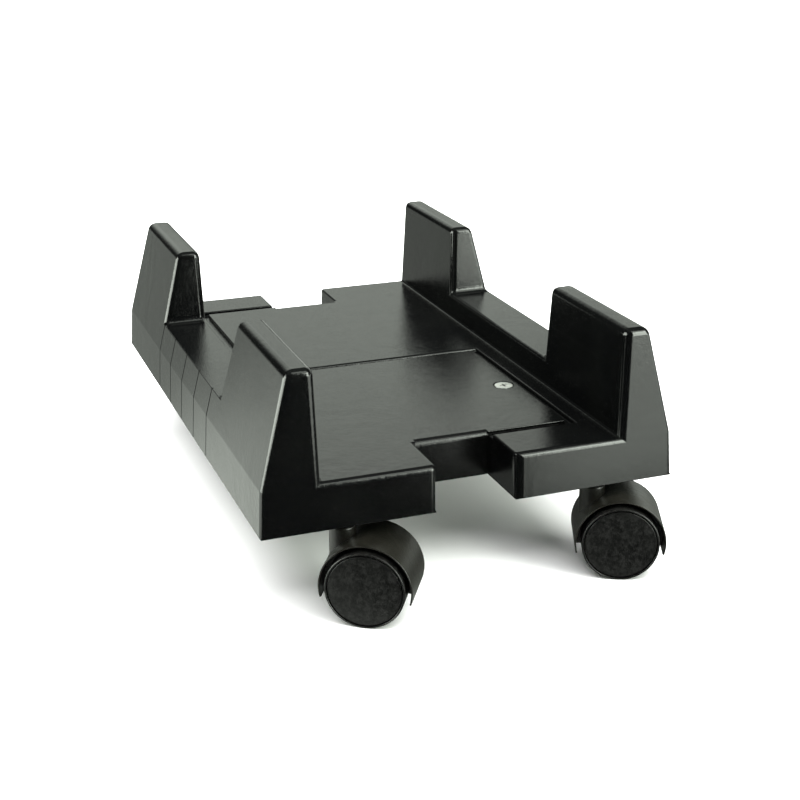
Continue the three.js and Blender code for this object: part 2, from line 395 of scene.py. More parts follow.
def side_channel():
    """Rail and both posts as one form: a side outline with an outer and an inner row of corners."""
    outline = [
        (-end_y(0), 0), (-end_y(CREASE), CREASE), (-end_y(POST_TOP), POST_TOP),
        (-post_face_y(POST_TOP), POST_TOP), (-post_face_y(RAIL_TOP), RAIL_TOP),
        (post_face_y(RAIL_TOP), RAIL_TOP), (post_face_y(POST_TOP), POST_TOP),
        (end_y(POST_TOP), POST_TOP), (end_y(CREASE), CREASE), (end_y(0), 0),
    ]
    count = len(outline)
    points = [(outer_x(z), y, z) for y, z in outline]
    points += [(inner_x(z), y, z) for y, z in outline]
    points += [(inner_x(DECK_TOP), side * end_y(DECK_TOP), DECK_TOP) for side in (-1, 1)]
    kink_front, kink_rear = 2 * count, 2 * count + 1
    crease_front, crease_rear, last = 1, count - 2, count - 1
    faces = [
        (0, crease_front, crease_rear, last),
        tuple(range(crease_front, crease_rear + 1)),
        (count, kink_front, kink_rear, count + last),
        (kink_front, *range(count + 2, count + 8), kink_rear),
        (0, count, kink_front, count + 2, 2, 1),
        (last, count + last, kink_rear, count + 7, 7, crease_rear),
        (0, last, count + last, count),
    ]
    faces += [(index, index + 1, count + index + 1, count + index) for index in range(2, 7)]
    return solid(points, faces)


def post_hollow(side):
    levels = []
    for z in (-1, CREASE, DECK_TOP, POST_TOP - WALL):
        reach = sorted((side * (post_face_y(z) + WALL), side * (end_y(z) - WALL)))
        levels.append((z, (outer_x(z) + WALL, inner_x(z) - WALL, *reach)))
    return tapered_block(levels)


def rail_hollow():
    levels = []
    for z in (-1, CREASE, RAIL_TOP - WALL):
        reach = post_face_y(z) - WALL
        levels.append((z, (outer_x(z) + WALL, inner_x(z) - WALL, -reach, reach)))
    return tapered_block(levels)


def outer_form():
    """The half as a solid, with plain flat faces."""
    front_block = tapered_block(
        [(z, (CHANNEL_WALL - 1, -NOTCH_EDGE, -end_y(z), -SEAM)) for z in (0, DECK_TOP)])
    rear_arm = tapered_block(
        [(z, (CHANNEL_WALL - 1, -NOTCH_EDGE, -SEAM - 1, end_y(z))) for z in (0, DECK_TOP)])
    recess = box(-RECESS_END, -NOTCH_EDGE + 1, -SEAM - 2, RECESS_FRONT, RECESS_FLOOR, DECK_TOP + 1)
    cut(rear_arm, recess)
    tongue = box(-NOTCH_EDGE - 1, TONGUE_END, -NOTCH_Y, -SEAM, DECK_TOP - TONGUE_THICKNESS, DECK_TOP)
    notch_wall = box(-NOTCH_EDGE - 1, NOTCH_EDGE - GAP, -NOTCH_Y, -NOTCH_Y + NOTCH_WALL, 0,
                     DECK_TOP - 1)
    reach_under = RECESS_FLOOR - DECK_THICKNESS
    reach = box(-NOTCH_EDGE - 1, REACH_EDGE, SEAM, REACH_SIDE, reach_under, RECESS_FLOOR)
    return flatten(join(side_channel(), front_block, rear_arm, tongue, notch_wall, reach))


# Edges within this distance of an end face or of the outer side belong to it
END_ZONE = 6.0
OUTER_ZONE = 15.0


def near(value, target, reach=0.4):
    return abs(value - target) < reach


def half_fillet(edge):
    """Radius of an edge of the outer form, found from where it lies."""
    a, b = (v.co for v in edge.verts)
    low, high = min(a.z, b.z), max(a.z, b.z)
    middle = (a + b) / 2
    upright = high - low > 1.0
    at_end = abs(middle.y) > HALF_LENGTH - END_ZONE
    at_recess = near(middle.x, -RECESS_END, 0.3) or near(middle.y, RECESS_FRONT, 0.3)
    if edge.calc_face_angle(0) < math.radians(1):
        return 0
    if high < 0.1:
        return RIM_FILLET
    if low > POST_TOP - 0.1:
        return POST_TOP_FILLET
    if high > RAIL_TOP + 0.1:
        return POST_INNER_FILLET if near(middle.x, inner_x(middle.z), 0.5) else POST_OUTER_FILLET
    if upright and at_end and middle.x < OUTER_ZONE - HALF_WIDTH:
        return POST_OUTER_FILLET
    if near(high, RAIL_TOP) and near(low, RAIL_TOP):
        if near(abs(middle.y), post_face_y(RAIL_TOP)):
            return FOOT_FILLET
        return RAIL_OUTER_FILLET if middle.x < outer_x(RAIL_TOP) + 1 else RAIL_FILLET
    if near(high, CREASE, 0.05) and near(low, CREASE, 0.05):
        return CREASE_FILLET
    if upright and near(abs(middle.x), NOTCH_EDGE, 0.6) and at_end:
        return CORNER_FILLET if middle.y < 0 else REAR_CORNER_FILLET
    if upright and near(middle.x, -NOTCH_EDGE) and near(middle.y, -NOTCH_Y):
        return NOTCH_CORNER_FILLET
    if upright and at_recess:
        return RECESS_CORNER_FILLET
    if upright and near(middle.x, TONGUE_END, 0.1) and low > RECESS_FLOOR:
        return TONGUE_CORNER_FILLET
    if upright:
        return 0
    if near(middle.x, inner_x(middle.z), 0.5):
        return INNER_FILLET
    if near(high, RECESS_FLOOR, 0.1):
        return RECESS_FOOT_FILLET if at_recess else REACH_FILLET
    if not near(high, DECK_TOP, 0.1):
        return 0
    if at_end:
        return DECK_END_FILLET
    if at_recess:
        return RECESS_FILLET
    if near(middle.y, -SEAM, 0.1):
        return SEAM_FILLET
    if near(middle.y, -NOTCH_Y) or near(middle.x, TONGUE_END, 0.1):
        return TONGUE_END_FILLET
    return DECK_EDGE_FILLET


def deck_hollows():
    """The spaces under the deck: before the seam, under the recess, and behind and beside it."""
    front_top, rear_top = DECK_TOP - DECK_THICKNESS, RECESS_FLOOR - DECK_THICKNESS
    inside = -NOTCH_EDGE - WALL
    front = tapered_block(
        [(z, (CHANNEL_WALL, inside, -end_y(z) + WALL, -SEAM - WALL)) for z in (-1, front_top)])
    rear = tapered_block([(z, (CHANNEL_WALL, inside, -SEAM, end_y(z) - WALL)) for z in (-1, rear_top)])
    rear_end = tapered_block(
        [(z, (CHANNEL_WALL, inside, RECESS_FRONT + WALL, end_y(z) - WALL)) for z in (-1, front_top)])
    rear_side = box(CHANNEL_WALL, -RECESS_END - WALL, -SEAM, RECESS_FRONT + WALL + 1, -1, front_top)
    side_opening = box(inside - 1, -NOTCH_EDGE + 1, SEAM, REACH_SIDE, -1, rear_top)
    return [front, rear, rear_end, rear_side, side_opening]


def ribs():
    """Cross ribs under the deck and inside the rail, which run a little way into the walls."""
    def cross(y, x1, top):
        return box(CHANNEL_WALL - 1, x1, y - RIB_HALF_WIDTH, y + RIB_HALF_WIDTH, RIB_BOTTOM, top)

    made = [cross(y, -NOTCH_EDGE - 1, DECK_TOP - 1) for y in FRONT_RIBS]
    made += [cross(y, -NOTCH_EDGE - WALL - 0.2, RECESS_FLOOR - 1) for y in REAR_RIBS]
    for y in RAIL_RIBS:
        levels = []
        for z in (RIB_BOTTOM, CREASE, RAIL_TOP - 1):
            sides = (y - RIB_HALF_WIDTH, y + RIB_HALF_WIDTH)
            levels.append((z, (outer_x(z) + 1.5, CHANNEL_WALL - 1, *sides)))
        made.append(tapered_block(levels))
    return made


def sockets():
    """Boss and hole for the stem of each of the half's two casters."""
    places = ((-FRONT_STEM_X, -STEM_Y), (-REAR_STEM_X, STEM_Y))
    bosses = [cylinder_z(x, y, SOCKET_BOTTOM, DECK_TOP - 1, SOCKET_BOSS_RADIUS) for x, y in places]
    holes = [cylinder_z(x, y, -1, SOCKET_DEPTH, SOCKET_RADIUS) for x, y in places]
    return bosses, holes


def lock_cuts():
    """Countersunk hole in the tongue, and the slot that lets the other half's screw travel."""
    slot_end = TRAVEL - LOCK_X
    low, high = RECESS_FLOOR - DECK_THICKNESS - 2.2, RECESS_FLOOR + 0.25
    return [
        cylinder_z(LOCK_X, -LOCK_Y, DECK_TOP - SCREW_SINK_DEPTH, DECK_TOP + 0.05, SCREW_HOLE_RADIUS,
                   SCREW_SINK_RADIUS),
        cylinder_z(LOCK_X, -LOCK_Y, 10, 30, SCREW_HOLE_RADIUS),
        box(-LOCK_X, slot_end, LOCK_Y - SLOT_RADIUS, LOCK_Y + SLOT_RADIUS, low, high),
        cylinder_z(-LOCK_X, LOCK_Y, low, high, SLOT_RADIUS),
        cylinder_z(slot_end, LOCK_Y, low, high, SLOT_RADIUS),
    ]


def notch_lip():
    """What the rounded front lip of the notch leaves out."""
    radius = NOTCH_LIP_FILLET
    rounding = arc(radius - NOTCH_Y, DECK_TOP - radius, radius, 90, 180, 10)
    outline = [(-NOTCH_Y - 1, DECK_TOP - radius), *reversed(rounding),
               (radius - NOTCH_Y, DECK_TOP + 1), (-NOTCH_Y - 1, DECK_TOP + 1)]
    return extrude_x(outline, DECK_EDGE_FILLET - NOTCH_EDGE, NOTCH_EDGE - GAP)


def grooves():
    """Thin upright grooves that divide the outer wall and the rail slope into panels."""
    made = []
    for index in range(GROOVE_COUNT):
        y = GROOVE_START - GROOVE_PITCH * index
        sides = (y - GROOVE_HALF_WIDTH, y + GROOVE_HALF_WIDTH)
        made.append(tapered_block([(z, (outer_x(z) - 1, outer_x(z) + GROOVE_DEPTH, *sides))
                                   for z in (-1, CREASE, RAIL_TOP + 1)]))
    return made


def post_line():
    """Shallow V line across the inner face of the rear post."""
    x = inner_x(LINE_HEIGHT)
    y0, y1 = post_face_y(LINE_HEIGHT) - 1, HALF_LENGTH
    corners = [(x + 0.15, -LINE_HALF_WIDTH), (x - LINE_DEPTH, 0.0), (x + 0.15, LINE_HALF_WIDTH)]
    points = [(px, y, LINE_HEIGHT + dz) for y in (y0, y1) for px, dz in corners]
    return solid(points, ends(2, 3) + bands(2, 3))


def half_shell():
    """The moulding of one half, with a mark on the faces of its fillets."""
    shell = fillet(outer_form(), half_fillet)
    bosses, holes = sockets()
    cut(shell, rail_hollow(), post_hollow(-1), post_hollow(1), *deck_hollows())
    join(shell, *ribs(), *bosses)
    cut(shell, *holes, *lock_cuts(), *grooves(), post_line(), notch_lip())
    return mark_polish(shade(shell))


# ---------------------------------------------------------------- lock hardware, about the screw axis
LOCK_FACE = RECESS_FLOOR - DECK_THICKNESS - GAP
NUT_BORE_RADIUS = 2.75


def threaded_rod(radius, z0, z1, pitch=0.8, depth=0.32, segments=32):
    """A closed rod whose surface is a helical thread that runs out at both ends."""
    rows = int((z1 - z0) / pitch * 6)
    points = []
    for row in range(rows + 1):
        z = z0 + (z1 - z0) * row / rows
        fade = min(1.0, (z - z0) / pitch, (z1 - z) / pitch)
        for step in range(segments):
            turn = step / segments
            phase = (z / pitch - turn) % 1.0
            r = radius - depth * fade * abs(2 * phase - 1)
            points.append((r * math.cos(2 * math.pi * turn), r * math.sin(2 * math.pi * turn), z))
    return solid(points, bands(rows + 1, segments) + ends(rows + 1, segments))


def lock_screw():
    """Countersunk screw with a cross recess."""
    top = DECK_TOP - 0.1
    head = lathe([(0, top - 2.9), (2.3, top - 2.9), (2.3, top - 2.4), (4.75, top - 0.45),
                  *arc(4.65, top - 0.3, 0.3, -30, 90, 5), (0, top)], 64)
    rod = threaded_rod(2.4, 1.5, top - 2.4)
    join(head, rod)
    deep, wide = (0.35, 1.25), (0.45, 2.15)
    slots = []
    for turned in (False, True):
        levels = []
        for z, size in ((top - 1.5, deep), (top + 0.2, wide)):
            x, y = reversed(size) if turned else size
            levels.append((z, (-x, x, -y, y)))
        slots.append(tapered_block(levels))
    cut(head, *slots)
    return shade(head)


def lock_washer():
    """Flat washer with chamfered edges."""
    inner, outer, chamfer = NUT_BORE_RADIUS, 6.5, 0.2
    bottom, top = LOCK_FACE - 1.2, LOCK_FACE
    return shade(lathe([
        (inner, bottom + chamfer), (inner + chamfer, bottom), (outer - chamfer, bottom),
        (outer, bottom + chamfer), (outer, top - chamfer), (outer - chamfer, top),
        (inner + chamfer, top), (inner, top - chamfer),
    ], closed=True))


def wing_nut():
    """Cast wing nut: a tapered hub with two rounded wings."""
    top = LOCK_FACE - 1.5
    lower_edge = arc(4.0, top - 5.6, 0.4, -90, 0, 3)
    hub = lathe([(0, top - 6), *lower_edge, (5.4, top - 0.3), (5.1, top), (0, top)])
    outline = [(0, top - 5.3), (4.4, top - 7), (6.6, top - 9.2), (8.4, top - 10.8), (10.4, top - 11.3),
               (12.3, top - 10.7), (13.2, top - 9.0), (13.0, top - 7), (12, top - 5), (9.2, top - 2.6),
               (5, top - 1), (0, top - 1)]
    wings = []
    for side in (1, -1):
        wing = extrude_x([(side * x, z) for x, z in outline], -1.1, 1.1)
        wing.data.transform(Matrix.Rotation(-math.pi / 2, 4, "Z"))
        wings.append(round_edges(wing, 0.8, 4))
    join(hub, *wings)
    cut(hub, cylinder_z(0, 0, -2, 20, NUT_BORE_RADIUS))
    return shade(hub, 34)


# ---------------------------------------------------------------- casters: stem on Z, axle along X
def drum(outline, x0, x1):
    """An outline of (along Y, up) points about the axle, given thickness along X."""
    return extrude_x([(TRAIL + y, WHEEL_RADIUS + z) for y, z in outline], x0, x1)


def hood_band():
    """The thin curved wall over both wheels, with rounded rims."""
    edge = HOOD_ROUNDING
    inside, outside = HOOD_RADIUS - HOOD_WALL, HOOD_RADIUS
    rounding = arc(0, 0, edge, 0, 90, 3)
    section = []
    for direction in (1, -1):
        across = direction * (HOOD_HALF_WIDTH - edge)
        lower = [(across + direction * dx, inside + edge - dr) for dx, dr in reversed(rounding)]
        upper = [(across + direction * dx, outside - edge + dr) for dx, dr in rounding]
        section += (lower + upper)[::direction]
    rows = 97
    points = []
    for turn in arc(0, 0, 1, -HOOD_TIP, 180 + HOOD_TIP, rows - 1):
        points += [(x, TRAIL + r * turn[0], WHEEL_RADIUS + r * turn[1]) for x, r in section]
    return solid(points, bands(rows, len(section)) + ends(rows, len(section)))


def caster_hood():
    """The band over the wheels, the web between them, and the neck that turns on the stem."""
    band = hood_band()
    web_tip = HOOD_TIP - 1
    web_outline = arc(0, 0, HOOD_RADIUS - 0.6, -web_tip, 180 + web_tip, 64)
    web_outline += arc(0, 0, 7, 216, 324, 12)
    web = drum(web_outline, -WEB_HALF_WIDTH, WEB_HALF_WIDTH)
    neck = lathe([(0, WHEEL_RADIUS), (NECK_RADIUS + 0.15, WHEEL_RADIUS), (NECK_RADIUS, NECK_TOP - 1.2),
                  *arc(NECK_RADIUS - 0.8, NECK_TOP - 0.8, 0.8, 0, 90, 4), (0, NECK_TOP)], 64)
    cut(neck, cylinder_x(-HOOD_RADIUS, HOOD_RADIUS, TRAIL, WHEEL_RADIUS, HOOD_RADIUS - HOOD_WALL, 128))
    join(band, web, neck)
    stem_bore = cylinder_z(0, 0, STEM_BOTTOM - 0.4, NECK_TOP + 1, STEM_BORE_RADIUS)
    axle_bore = cylinder_x(-HOOD_RADIUS, HOOD_RADIUS, TRAIL, WHEEL_RADIUS, AXLE_RADIUS + GAP)
    cut(band, stem_bore, axle_bore)
    return shade(band)


def caster_stem():
    """Steel stem with a pressed collar under the base and a grip groove inside the socket."""
    collar = NECK_TOP + GAP
    collar_top = RIM_HEIGHT + SOCKET_BOTTOM - GAP
    top = RIM_HEIGHT + SOCKET_DEPTH - 1.2
    return shade(lathe([
        (0, STEM_BOTTOM), (2.6, STEM_BOTTOM), (3, STEM_BOTTOM + 0.4), (3, collar),
        (5.3, collar), (5.6, collar + 0.3), (5.6, collar_top - 0.3), (5.3, collar_top),
        (3.9, collar_top), (3.9, top - 4), (3.4, top - 3.6), (3.4, top - 2.4), (3.9, top - 2),
        (3.9, top - 1), (3.1, top), (0, top),
    ]))


def stem_sleeve():
    """Thin tube that lines the socket round the stem."""
    bottom = RIM_HEIGHT + SOCKET_BOTTOM + 0.1
    top = RIM_HEIGHT + SOCKET_DEPTH - 1
    return shade(lathe([(4.2, bottom), (4.8, bottom), (5, bottom + 0.3), (5, top - 0.3), (4.8, top),
                        (4.2, top)], 48, closed=True))


def along_axle(piece, side=1):
    turn = Matrix.Rotation(side * math.pi / 2, 4, "Y")
    piece.data.transform(Matrix.Translation((0, TRAIL, WHEEL_RADIUS)) @ turn)
    return piece


def caster_axle():
    reach, chamfer = WHEEL_FACE - 3, 0.5
    pin = lathe([(0, -reach), (AXLE_RADIUS - chamfer, -reach), (AXLE_RADIUS, -reach + chamfer),
                 (AXLE_RADIUS, reach - chamfer), (AXLE_RADIUS - chamfer, reach), (0, reach)], 40)
    return shade(along_axle(pin))


def caster_wheel(side):
    """Wheel with a narrow rim ring and a groove round a flat disc, and a spoked hollow inside."""
    face, back, rim = WHEEL_FACE, WHEEL_BACK, WHEEL_RADIUS
    disc = face - DISC_STEP
    disc_back = disc - DISC_THICKNESS
    bore, bore_end = AXLE_RADIUS + GAP, disc - 2.6
    profile = [(0, bore_end), (bore, bore_end), (bore, back), (HUB_RADIUS, back), (HUB_RADIUS, disc_back),
               (rim - RIM_THICKNESS, disc_back), (rim - RIM_THICKNESS, back), (rim - 0.8, back)]
    profile += arc(rim - 0.9, back + 0.9, 0.9, -90, 0, 4)
    profile += arc(rim - RIM_ROUNDING, face - RIM_ROUNDING, RIM_ROUNDING, 0, 90, 8)
    profile += [(rim - 0.75, face), (rim - 0.9, face - 0.15)]
    profile += [(rim - 0.95, face - 1.6), (rim - 1.5, face - 1.6)]
    profile += arc(rim - 1.9, disc - 0.4, 0.4, 0, 90, 4)
    profile += [(0, disc)]
    wheel = lathe(profile, 128)
    spokes = []
    for index in range(SPOKE_COUNT):
        spoke = box(HUB_RADIUS - 0.5, rim - 1.9, -SPOKE_HALF_WIDTH, SPOKE_HALF_WIDTH,
                    back + 1.5, disc_back + 0.5)
        spoke.data.transform(Matrix.Rotation(2 * math.pi * index / SPOKE_COUNT, 4, "Z"))
        spokes.append(spoke)
    join(wheel, *spokes)
    along_axle(wheel, side)
    return shade(wheel)


# ---------------------------------------------------------------- materials
SHELL_BLACK = (0.0011, 0.0012, 0.0013)
SHELL_GREY = (0.0018, 0.002, 0.0019)
SHELL_SPECK = (0.018, 0.019, 0.018)
SHELL_RUB = (0.016, 0.017, 0.016)
HOOD_DARK = (0.0048, 0.0047, 0.0036)
HOOD_LIGHT = (0.0082, 0.0079, 0.006)
HOOD_RUB = (0.055, 0.053, 0.043)
WHEEL_BLACK = (0.0011, 0.0011, 0.001)
WHEEL_GREY = (0.0022, 0.0022, 0.002)
WHEEL_MOTTLE = (0.0068, 0.0068, 0.0064)
WHEEL_WORN = (0.014, 0.0135, 0.0125)
WHEEL_RING_PITCH = 0.0009
ZINC_DULL = (0.46, 0.47, 0.49)
ZINC_BRIGHT = (0.64, 0.65, 0.66)
ZINC_CRYSTAL = (0.74, 0.75, 0.78)
NICKEL_DULL = (0.76, 0.76, 0.74)
NICKEL_BRIGHT = (0.9, 0.9, 0.88)
SCREW_RING_PITCH = 0.00028
PLASTIC_IOR = 1.5

# The range that holds most values of a noise
MIDDLE = (0.3, 0.7)


class Nodes:
    """Short way to add and link shader nodes. An input given as a socket is linked, any other is set."""

    def __init__(self, tree):
        self.tree = tree

    def add(self, kind, inputs, **settings):
        node = self.tree.nodes.new("ShaderNode" + kind)
        for name, value in settings.items():
            setattr(node, name, value)
        for name, value in inputs.items():
            if isinstance(value, bpy.types.NodeSocket):
                self.tree.links.new(value, node.inputs[name])
            else:
                node.inputs[name].default_value = value
        return node

    def math(self, operation, *values):
        return self.add("Math", dict(enumerate(values)), operation=operation).outputs[0]

    def plus(self, value, more, share):
        """The value and a share of more."""
        return self.math("ADD", value, self.math("MULTIPLY", more, share))

    def length(self, x, y):
        squares = [self.math("MULTIPLY", side, side) for side in (x, y)]
        return self.math("SQRT", self.math("ADD", *squares))

    def vector(self, operation, first, second, output="Vector"):
        return self.add("VectorMath", {0: first, 1: second}, operation=operation).outputs[output]

    def noise(self, where, size, detail=2.0, roughness=0.5, distortion=0.0):
        """Noise whose features are about size metres across."""
        inputs = {"Vector": where, "Scale": 1 / size, "Detail": detail, "Roughness": roughness,
                  "Distortion": distortion}
        return self.add("TexNoise", inputs).outputs[0]

    def span(self, value, low, high, to_low, to_high):
        """Maps a value smoothly from one range to another and stops at its ends."""
        inputs = {"Value": value, "From Min": low, "From Max": high, "To Min": to_low, "To Max": to_high}
        return self.add("MapRange", inputs, interpolation_type="SMOOTHSTEP").outputs[0]

    def tint(self, factor, low, high):
        """Colour between low and high, by a factor from 0 to 1."""
        mix = self.add("Mix", {0: factor}, data_type="RGBA")
        for socket, colour in ((mix.inputs[6], low), (mix.inputs[7], high)):
            if isinstance(colour, bpy.types.NodeSocket):
                self.tree.links.new(colour, socket)
            else:
                socket.default_value = (*colour, 1)
        return mix.outputs[2]

    def bump(self, height, depth, strength, under=None):
        """Relief of depth metres, laid over the relief under it."""
        inputs = {"Height": height, "Distance": depth, "Strength": strength}
        if under is not None:
            inputs["Normal"] = under
        return self.add("Bump", inputs).outputs[0]


def new_material(name):
    """A new material, its node helper, its shader and its coordinates, in metres on the piece."""
    material = bpy.data.materials.new(name)
    material.use_nodes = True
    tree = material.node_tree
    nodes = Nodes(tree)
    where = nodes.add("TexCoord", {}).outputs["Object"]
    return material, nodes, tree.nodes["Principled BSDF"], where


def finish_with(nodes, shader, colour, roughness, normal):
    nodes.tree.links.new(colour, shader.inputs["Base Color"])
    nodes.tree.links.new(roughness, shader.inputs["Roughness"])
    nodes.tree.links.new(normal, shader.inputs["Normal"])


def scuffs(nodes, where, size, low, high):
    """Sparse long rub marks, 0 to 1, from noise drawn out in two directions."""
    one = nodes.noise(nodes.vector("MULTIPLY", where, (0.14, 1.0, 1.0)), size, 4, 0.6, 0.4)
    two = nodes.noise(nodes.vector("MULTIPLY", where, (1.0, 0.16, 1.0)), size * 0.8, 4, 0.6, 0.4)
    return nodes.span(nodes.math("MAXIMUM", one, two), low, high, 0, 1)


def make_shell_plastic():
    """Near-black moulded ABS: fine grain, flow waves, ripple, specks, rub marks, smoother fillets."""
    material, nodes, shader, where = new_material("shell_plastic")
    flow = nodes.noise(where, 0.045, 3, 0.55, 0.8)
    patch = nodes.noise(where, 0.012, 4, 0.6)
    grain = nodes.noise(where, 0.0004, 1, 0.5)
    speck = nodes.noise(where, 0.0016, 1, 0.4)
    rub = scuffs(nodes, where, 0.004, 0.66, 0.8)
    ripple = nodes.noise(where, 0.003, 3, 0.6)
    polish = nodes.add("Attribute", {}, attribute_name="polish").outputs["Fac"]

    colour = nodes.tint(nodes.span(flow, *MIDDLE, 0, 1), SHELL_BLACK, SHELL_GREY)
    colour = nodes.tint(nodes.span(speck, 0.72, 0.82, 0, 0.5), colour, SHELL_SPECK)
    colour = nodes.tint(nodes.math("MULTIPLY", rub, 0.5), colour, SHELL_RUB)

    roughness = nodes.plus(nodes.span(patch, 0.25, 0.75, 0.12, 0.16), rub, 0.12)
    roughness = nodes.math("ADD", roughness, nodes.span(flow, *MIDDLE, -0.01, 0.015))
    roughness = nodes.plus(roughness, polish, -0.03)

    normal = nodes.bump(flow, 0.0012, 0.3)
    normal = nodes.bump(ripple, 0.00007, 1.0, normal)
    normal = nodes.bump(grain, 0.00006, nodes.span(polish, 0, 1, 1.0, 0.45), normal)
    finish_with(nodes, shader, colour, roughness, normal)
    shader.inputs["IOR"].default_value = PLASTIC_IOR
    return material


def make_hood_plastic():
    """Dark olive-brown satin nylon, cloudier and with a coarser grain than the halves."""
    material, nodes, shader, where = new_material("hood_plastic")
    cloud = nodes.noise(where, 0.009, 3, 0.6, 0.5)
    grain = nodes.noise(where, 0.0005, 2, 0.6)
    rub = scuffs(nodes, where, 0.003, 0.64, 0.78)
    ripple = nodes.noise(where, 0.0016, 3, 0.6)
    colour = nodes.tint(nodes.span(cloud, *MIDDLE, 0, 1), HOOD_DARK, HOOD_LIGHT)
    colour = nodes.tint(nodes.math("MULTIPLY", rub, 0.4), colour, HOOD_RUB)
    roughness = nodes.plus(nodes.span(cloud, *MIDDLE, 0.29, 0.36), rub, 0.12)
    normal = nodes.bump(cloud, 0.0004, 0.5)
    normal = nodes.bump(ripple, 0.00008, 0.8, normal)
    normal = nodes.bump(grain, 0.00005, 1.0, normal)
    finish_with(nodes, shader, colour, roughness, normal)
    shader.inputs["IOR"].default_value = PLASTIC_IOR
    return material


def make_wheel_nylon():
    """Black satin nylon: mottled, with faint turning rings, and a tread that rolling has scuffed."""
    material, nodes, shader, where = new_material("wheel_nylon")
    parts = nodes.add("SeparateXYZ", {0: where})
    along = nodes.math("SUBTRACT", parts.outputs["Y"], TRAIL * MM)
    up = nodes.math("SUBTRACT", parts.outputs["Z"], WHEEL_RADIUS * MM)
    radius = nodes.length(along, up)
    tread = nodes.span(radius, (WHEEL_RADIUS - 0.25) * MM, (WHEEL_RADIUS - 0.05) * MM, 0, 1)
    rings = nodes.math("SINE", nodes.math("MULTIPLY", radius, 2 * math.pi / WHEEL_RING_PITCH))
    cloud = nodes.noise(where, 0.007, 3, 0.6)
    mottle = nodes.noise(where, 0.0017, 3, 0.65)
    grain = nodes.noise(where, 0.0005, 2, 0.6)
    wear = nodes.span(nodes.noise(where, 0.0022, 4, 0.7), 0.42, 0.68, 0, 1)
    worn = nodes.math("MULTIPLY", tread, wear)
    colour = nodes.tint(nodes.span(cloud, *MIDDLE, 0, 1), WHEEL_BLACK, WHEEL_GREY)
    colour = nodes.tint(nodes.span(mottle, 0.42, 0.64, 0, 1), colour, WHEEL_MOTTLE)
    colour = nodes.tint(nodes.math("MULTIPLY", worn, 0.7), colour, WHEEL_WORN)
    roughness = nodes.plus(nodes.span(cloud, *MIDDLE, 0.31, 0.39), worn, 0.25)
    normal = nodes.bump(rings, 0.00001, 0.25)
    normal = nodes.bump(mottle, 0.00012, 1.0, normal)
    normal = nodes.bump(grain, 0.00006, 1.0, normal)
    normal = nodes.bump(worn, 0.00008, 0.5, normal)
    finish_with(nodes, shader, colour, roughness, normal)
    shader.inputs["IOR"].default_value = PLASTIC_IOR
    return material


def make_plated_steel():
    """Zinc plate: a cool grey metal mottled by fine crystals, with duller patches."""
    material, nodes, shader, where = new_material("plated_steel")
    cell = nodes.add("TexVoronoi", {"Vector": where, "Scale": 1 / 0.0011}).outputs["Color"]
    crystal = nodes.add("SeparateColor", {0: cell}).outputs[0]
    dull = nodes.noise(where, 0.004, 4, 0.6)
    scratch = scuffs(nodes, where, 0.0012, 0.62, 0.72)
    colour = nodes.tint(nodes.span(dull, *MIDDLE, 0, 1), ZINC_DULL, ZINC_BRIGHT)
    colour = nodes.tint(nodes.math("MULTIPLY", crystal, 0.25), colour, ZINC_CRYSTAL)
    roughness = nodes.plus(nodes.span(dull, *MIDDLE, 0.4, 0.27), crystal, 0.06)
    roughness = nodes.plus(roughness, scratch, 0.12)
    normal = nodes.bump(crystal, 0.000006, 0.4)
    normal = nodes.bump(scratch, 0.00001, 0.5, normal)
    finish_with(nodes, shader, colour, roughness, normal)
    shader.inputs["Metallic"].default_value = 1.0
    return material


def make_bright_screw():
    """Nickel-plated screw and washer, finely turned: rings about their own axis, with small scratches."""
    material, nodes, shader, where = new_material("bright_screw")
    parts = nodes.add("SeparateXYZ", {0: where})
    radius = nodes.length(parts.outputs["X"], parts.outputs["Y"])
    rings = nodes.math("SINE", nodes.math("MULTIPLY", radius, 2 * math.pi / SCREW_RING_PITCH))
    dull = nodes.noise(where, 0.003, 4, 0.6)
    scratch = scuffs(nodes, where, 0.0009, 0.62, 0.72)
    colour = nodes.tint(nodes.span(dull, *MIDDLE, 0, 1), NICKEL_DULL, NICKEL_BRIGHT)
    roughness = nodes.plus(nodes.span(dull, *MIDDLE, 0.17, 0.26), scratch, 0.15)
    normal = nodes.bump(rings, 0.000005, 0.5)
    normal = nodes.bump(scratch, 0.00001, 0.4, normal)
    finish_with(nodes, shader, colour, roughness, normal)
    shader.inputs["Metallic"].default_value = 1.0
    return material


def make_floor():
    """Plain pale paper with the faintest mottle."""
    material, nodes, shader, where = new_material("floor")
    cloud = nodes.noise(where, 0.4, 3, 0.5)
    colour = nodes.tint(cloud, (0.85, 0.85, 0.85), (0.88, 0.88, 0.88))
    nodes.tree.links.new(colour, shader.inputs["Base Color"])
    shader.inputs["Roughness"].default_value = 0.9
    shader.inputs["Specular IOR Level"].default_value = 0.0
    return material


shell_plastic = make_shell_plastic()
hood_plastic = make_hood_plastic()
wheel_nylon = make_wheel_nylon()
steel = make_plated_steel()
nickel = make_bright_screw()


# ---------------------------------------------------------------- assembly
def copy_of(piece):
    """Another object of the same form, with its own mesh and its own weighted normals."""
    return weigh_normals(new_object("twin", piece.data.copy()))


def half_matrix(turn):
    return Matrix.Rotation(turn, 4, "Z") @ Matrix.Translation((0, 0, RIM_HEIGHT * MM))


